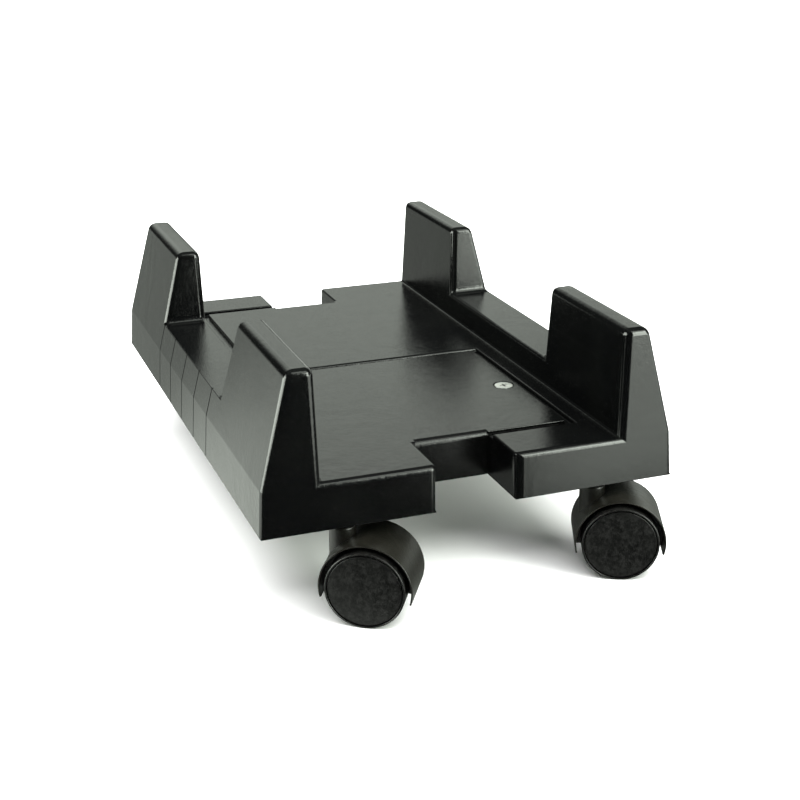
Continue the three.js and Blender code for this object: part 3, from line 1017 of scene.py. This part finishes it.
def add_halves():
    at_half = Matrix()
    at_lock = Matrix.Translation((LOCK_X * MM, -LOCK_Y * MM, 0))
    made = [
        ("shell", "moulding", half_shell(), "half", "shell_plastic", shell_plastic, at_half),
        ("lock_screw", "detail", lock_screw(), "half", "bright_screw", nickel, at_lock),
        ("lock_washer", "detail", lock_washer(), "half", "bright_screw", nickel, at_lock),
        ("wing_nut", "detail", wing_nut(), "wing_nut", "plated_steel", steel, at_lock),
    ]
    for name, kind, form, body, slot, material, shift in made:
        for half, turn, piece in (("left", 0, form), ("right", math.pi, copy_of(form))):
            place(piece, f"{half}_{name}_{kind}", f"{half}_{body}", f"{half}_{name}",
                  half_matrix(turn) @ shift, material)


def add_casters():
    places = {
        "front_left": (-FRONT_STEM_X, -STEM_Y, LEFT_HEADING, "left_half"),
        "front_right": (REAR_STEM_X, -STEM_Y, RIGHT_HEADING, "right_half"),
        "rear_left": (-REAR_STEM_X, STEM_Y, -180 - LEFT_HEADING, "left_half"),
        "rear_right": (FRONT_STEM_X, STEM_Y, -180 - RIGHT_HEADING, "right_half"),
    }
    forms = {
        "hood": (caster_hood(), "hood_plastic", hood_plastic),
        "stem": (caster_stem(), "plated_steel", steel),
        "stem_sleeve": (stem_sleeve(), "plated_steel", steel),
        "axle": (caster_axle(), "plated_steel", steel),
        "wheel_a": (caster_wheel(1), "wheel_nylon", wheel_nylon),
        "wheel_b": (caster_wheel(-1), "wheel_nylon", wheel_nylon),
    }
    for corner, (x, y, heading, half) in places.items():
        matrix = Matrix.Translation((x * MM, y * MM, 0)) @ Matrix.Rotation(math.radians(heading), 4, "Z")
        caster = f"{corner}_caster"
        bodies = {"hood": caster, "axle": caster, "stem": half, "stem_sleeve": half,
                  "wheel_a": f"{corner}_wheel_a", "wheel_b": f"{corner}_wheel_b"}
        for name, (form, slot, material) in forms.items():
            place(copy_of(form), f"{corner}_{name}_detail", bodies[name], f"{corner}_{name}",
                  matrix, material)
    for form, _, _ in forms.values():
        bpy.data.objects.remove(form)


add_halves()
add_casters()


# ---------------------------------------------------------------- stage
def look_at(thing, target, roll):
    place_at = Matrix.Translation(thing.location)
    direction = Vector(target) - thing.location
    turn = direction.to_track_quat("-Z", "Y").to_matrix().to_4x4()
    thing.matrix_world = place_at @ turn @ Matrix.Rotation(math.radians(roll), 4, "Z")


# Where the camera stands and what it looks at, in metres, and its roll in degrees
CAMERA_PLACE = (-0.2519, -0.7056, 0.3308)
CAMERA_TARGET = (0.01872, 0.0, 0.04544)
CAMERA_ROLL = 0.15
LENS = 64.25


def add_camera():
    data = bpy.data.cameras.new("camera")
    data.lens = LENS
    data.sensor_width = 36
    data.clip_end = 50
    camera = new_object("camera", data)
    camera.location = CAMERA_PLACE
    look_at(camera, CAMERA_TARGET, CAMERA_ROLL)
    bpy.context.scene.camera = camera


# Colour of the studio light, a trace of green
PANEL_TINT = (0.93, 1.0, 0.9, 1)

# Studio surroundings above the table, as soft panels: azimuth, half width, soft side edge, elevation,
# half height, soft upper and lower edge, all in degrees, and radiance.
PANELS = {
    "backdrop": (79, 10, 20, 21, 2, 18, 1.12),
    "backdrop_right": (63, 2, 2.5, -2, 6, 5, 1.3),
    "ceiling": (60, 180, 20, 90, 30, 20, 0.14),
    "left_softbox": (171, 20, 9, 8, 12, 9, 9.0),
    "right_softbox": (-51, 12, 3, 17, 17, 12, 12.0),
    "right_softbox_top": (-50, 12, 5, 52, 8, 22, 3.0),
    "right_fill": (30, 22, 12, 4, 16, 12, 0.95),
}

# Lines on the table where its light changes: a point in metres, and the direction in which it grows
LEFT_LINE = ((-0.27, 0.37), (-1, -0.6))
RIGHT_LINE = ((0.078, -0.3), (1, 0.41))
FRONT_LINE = ((0, -0.26), (0, -1))
REAR_LINE = ((0, -0.16), (0, 1))
FAR_FRONT_LINE = ((0, -0.8), (0.1, -1))
SOFT = (-0.05, 0.05)

# The table's light past those lines: line, start and end of the rise in metres, and radiance
TABLE_LIGHTS = {
    "rear": (REAR_LINE, *SOFT, 0.37),
    "left_near": (LEFT_LINE, -0.04, 0.07, 0.85),
    "left_far": (LEFT_LINE, 0.12, 0.7, 8),
    "right_near": (RIGHT_LINE, *SOFT, 2.8),
    "right_far": (FAR_FRONT_LINE, 0, 1, 8),
}
TABLE_BASE = 0.02

# A round patch of light behind the stand, and the rectangle under the stand where the glow is dimmed as a
# painted shadow of the stand
PATCH_PLACE = (0.35, 0.6, 0)
PATCH_RADII = (0.1, 0.35)
PATCH_RADIANCE = 0.5
UNDER_HALF_WIDTH = 0.085
UNDER_HALF_LENGTH = 0.13
UNDER_FADE = 0.03
UNDER_SHADOW_SHARE = 0.25

ROOM_RADIANCE = 0.03
OVERHEAD_SIZE = 4.0
OVERHEAD_HEIGHT = 2.2
OVERHEAD_WATTS = 330
TABLE_REACH = 8


def panel(nodes, direction, azimuth, half_width, side_edge, elevation, half_height, edge, radiance):
    """Radiance of one panel towards a direction."""
    x, y = math.cos(math.radians(azimuth)), math.sin(math.radians(azimuth))
    ahead = nodes.vector("DOT_PRODUCT", direction, (x, y, 0), "Value")
    aside = nodes.vector("DOT_PRODUCT", direction, (-y, x, 0), "Value")
    height = nodes.add("SeparateXYZ", {0: direction}).outputs["Z"]
    across = nodes.math("ABSOLUTE", nodes.math("ARCTAN2", aside, ahead))
    above = nodes.math("SUBTRACT", nodes.math("ARCSINE", height), math.radians(elevation))
    above = nodes.math("ABSOLUTE", above)
    sideways = nodes.span(across, math.radians(half_width), math.radians(half_width + side_edge), 1, 0)
    upright = nodes.span(above, math.radians(half_height), math.radians(half_height + edge), 1, 0)
    return nodes.math("MULTIPLY", nodes.math("MULTIPLY", sideways, upright), radiance)


def beyond(nodes, where, line, start, end, radiance):
    """Grows from nothing to radiance as the distance past a line goes from start to end."""
    (x, y), (nx, ny) = line
    length = math.hypot(nx, ny)
    nx, ny = nx / length, ny / length
    along = nodes.vector("DOT_PRODUCT", where, (nx, ny, 0), "Value")
    offset = nodes.math("SUBTRACT", along, nx * x + ny * y)
    return nodes.span(offset, start, end, 0, radiance)


def table_light(nodes, where):
    """Radiance over the table: brighter towards both softboxes, dark before the stand, and dimmed under
    it by a painted shadow of the stand.
    """
    light = {name: beyond(nodes, where, *values) for name, values in TABLE_LIGHTS.items()}
    left = nodes.math("ADD", light["left_near"], light["left_far"])
    left = nodes.math("MULTIPLY", left, beyond(nodes, where, REAR_LINE, *SOFT, 1))
    right = nodes.math("ADD", light["right_near"], light["right_far"])
    for line in (RIGHT_LINE, FRONT_LINE):
        right = nodes.math("MULTIPLY", right, beyond(nodes, where, line, *SOFT, 1))
    distance = nodes.vector("DISTANCE", where, PATCH_PLACE, "Value")
    patch = nodes.span(distance, *PATCH_RADII, PATCH_RADIANCE, 0)
    total = TABLE_BASE
    for part in (light["rear"], left, right, patch):
        total = nodes.math("ADD", total, part)

    # Painted shadow: the glow is dimmed over a soft rectangle under the stand, where the stand's shadow
    # would fall.
    parts = nodes.add("SeparateXYZ", {0: where})
    stand_shadow_mask = 1
    for axis, half in (("X", UNDER_HALF_WIDTH), ("Y", UNDER_HALF_LENGTH)):
        offset = nodes.math("ABSOLUTE", parts.outputs[axis])
        stand_shadow_mask = nodes.math("MULTIPLY", stand_shadow_mask, nodes.span(offset, half, half + UNDER_FADE, 1, 0))
    return nodes.math("MULTIPLY", total, nodes.span(stand_shadow_mask, 0, 1, 1, UNDER_SHADOW_SHARE))


def table(name, height, material):
    """A wide level sheet that isn't part of the object."""
    mesh = bpy.data.meshes.new(name)
    corners = [(side_x * TABLE_REACH, side_y * TABLE_REACH, height)
               for side_x, side_y in ((-1, -1), (1, -1), (1, 1), (-1, 1))]
    mesh.from_pydata(corners, [], [(0, 1, 2, 3)])
    surface = new_object(name, mesh)
    surface.data.materials.append(material)
    return surface


def add_floor():
    """The pale table that is seen. Gloss sees the glowing sheet instead."""
    floor = table("floor", 0, make_floor())
    floor.visible_glossy = False


def add_table_glow():
    """The lit table as gloss sees it. Nothing else sees this sheet, which lies just under the floor."""
    material = bpy.data.materials.new("table_glow")
    material.use_nodes = True
    material.node_tree.nodes.clear()
    nodes = Nodes(material.node_tree)
    where = nodes.add("TexCoord", {}).outputs["Object"]
    glow = nodes.add("Emission", {"Color": PANEL_TINT, "Strength": table_light(nodes, where)})
    nodes.add("OutputMaterial", {"Surface": glow.outputs[0]})
    sheet = table("table_glow", -MM, material)
    for ray in ("camera", "diffuse", "transmission", "volume_scatter", "shadow"):
        setattr(sheet, f"visible_{ray}", False)


def make_world():
    """Soft panels round the object on a dim room; to the camera it is plain white."""
    world = bpy.data.worlds.new("studio")
    world.use_nodes = True
    nodes = Nodes(world.node_tree)
    direction = nodes.add("TexCoord", {}).outputs["Generated"]
    total = ROOM_RADIANCE
    for values in PANELS.values():
        total = nodes.math("ADD", total, panel(nodes, direction, *values))
    light = world.node_tree.nodes["Background"]
    light.inputs["Color"].default_value = PANEL_TINT
    nodes.tree.links.new(total, light.inputs["Strength"])
    white = nodes.add("Background", {"Color": (1, 1, 1, 1), "Strength": 1})
    seen = nodes.add("LightPath", {}).outputs["Is Camera Ray"]
    mixed = nodes.add("MixShader", {0: seen, 1: light.outputs[0], 2: white.outputs[0]})
    nodes.tree.links.new(mixed.outputs[0], world.node_tree.nodes["World Output"].inputs["Surface"])
    return world


def add_overhead_light():
    """Large overhead panel that keeps the table white and softens the contact shadows."""
    light = bpy.data.lights.new("overhead", "AREA")
    light.shape = "SQUARE"
    light.size = OVERHEAD_SIZE
    light.energy = OVERHEAD_WATTS
    lamp = new_object("overhead", light)
    lamp.location = (0, 0, OVERHEAD_HEIGHT)
    lamp.visible_glossy = False


add_camera()
add_floor()
add_table_glow()
add_overhead_light()
bpy.context.scene.world = make_world()

bpy.context.scene.view_settings.view_transform = "Standard"
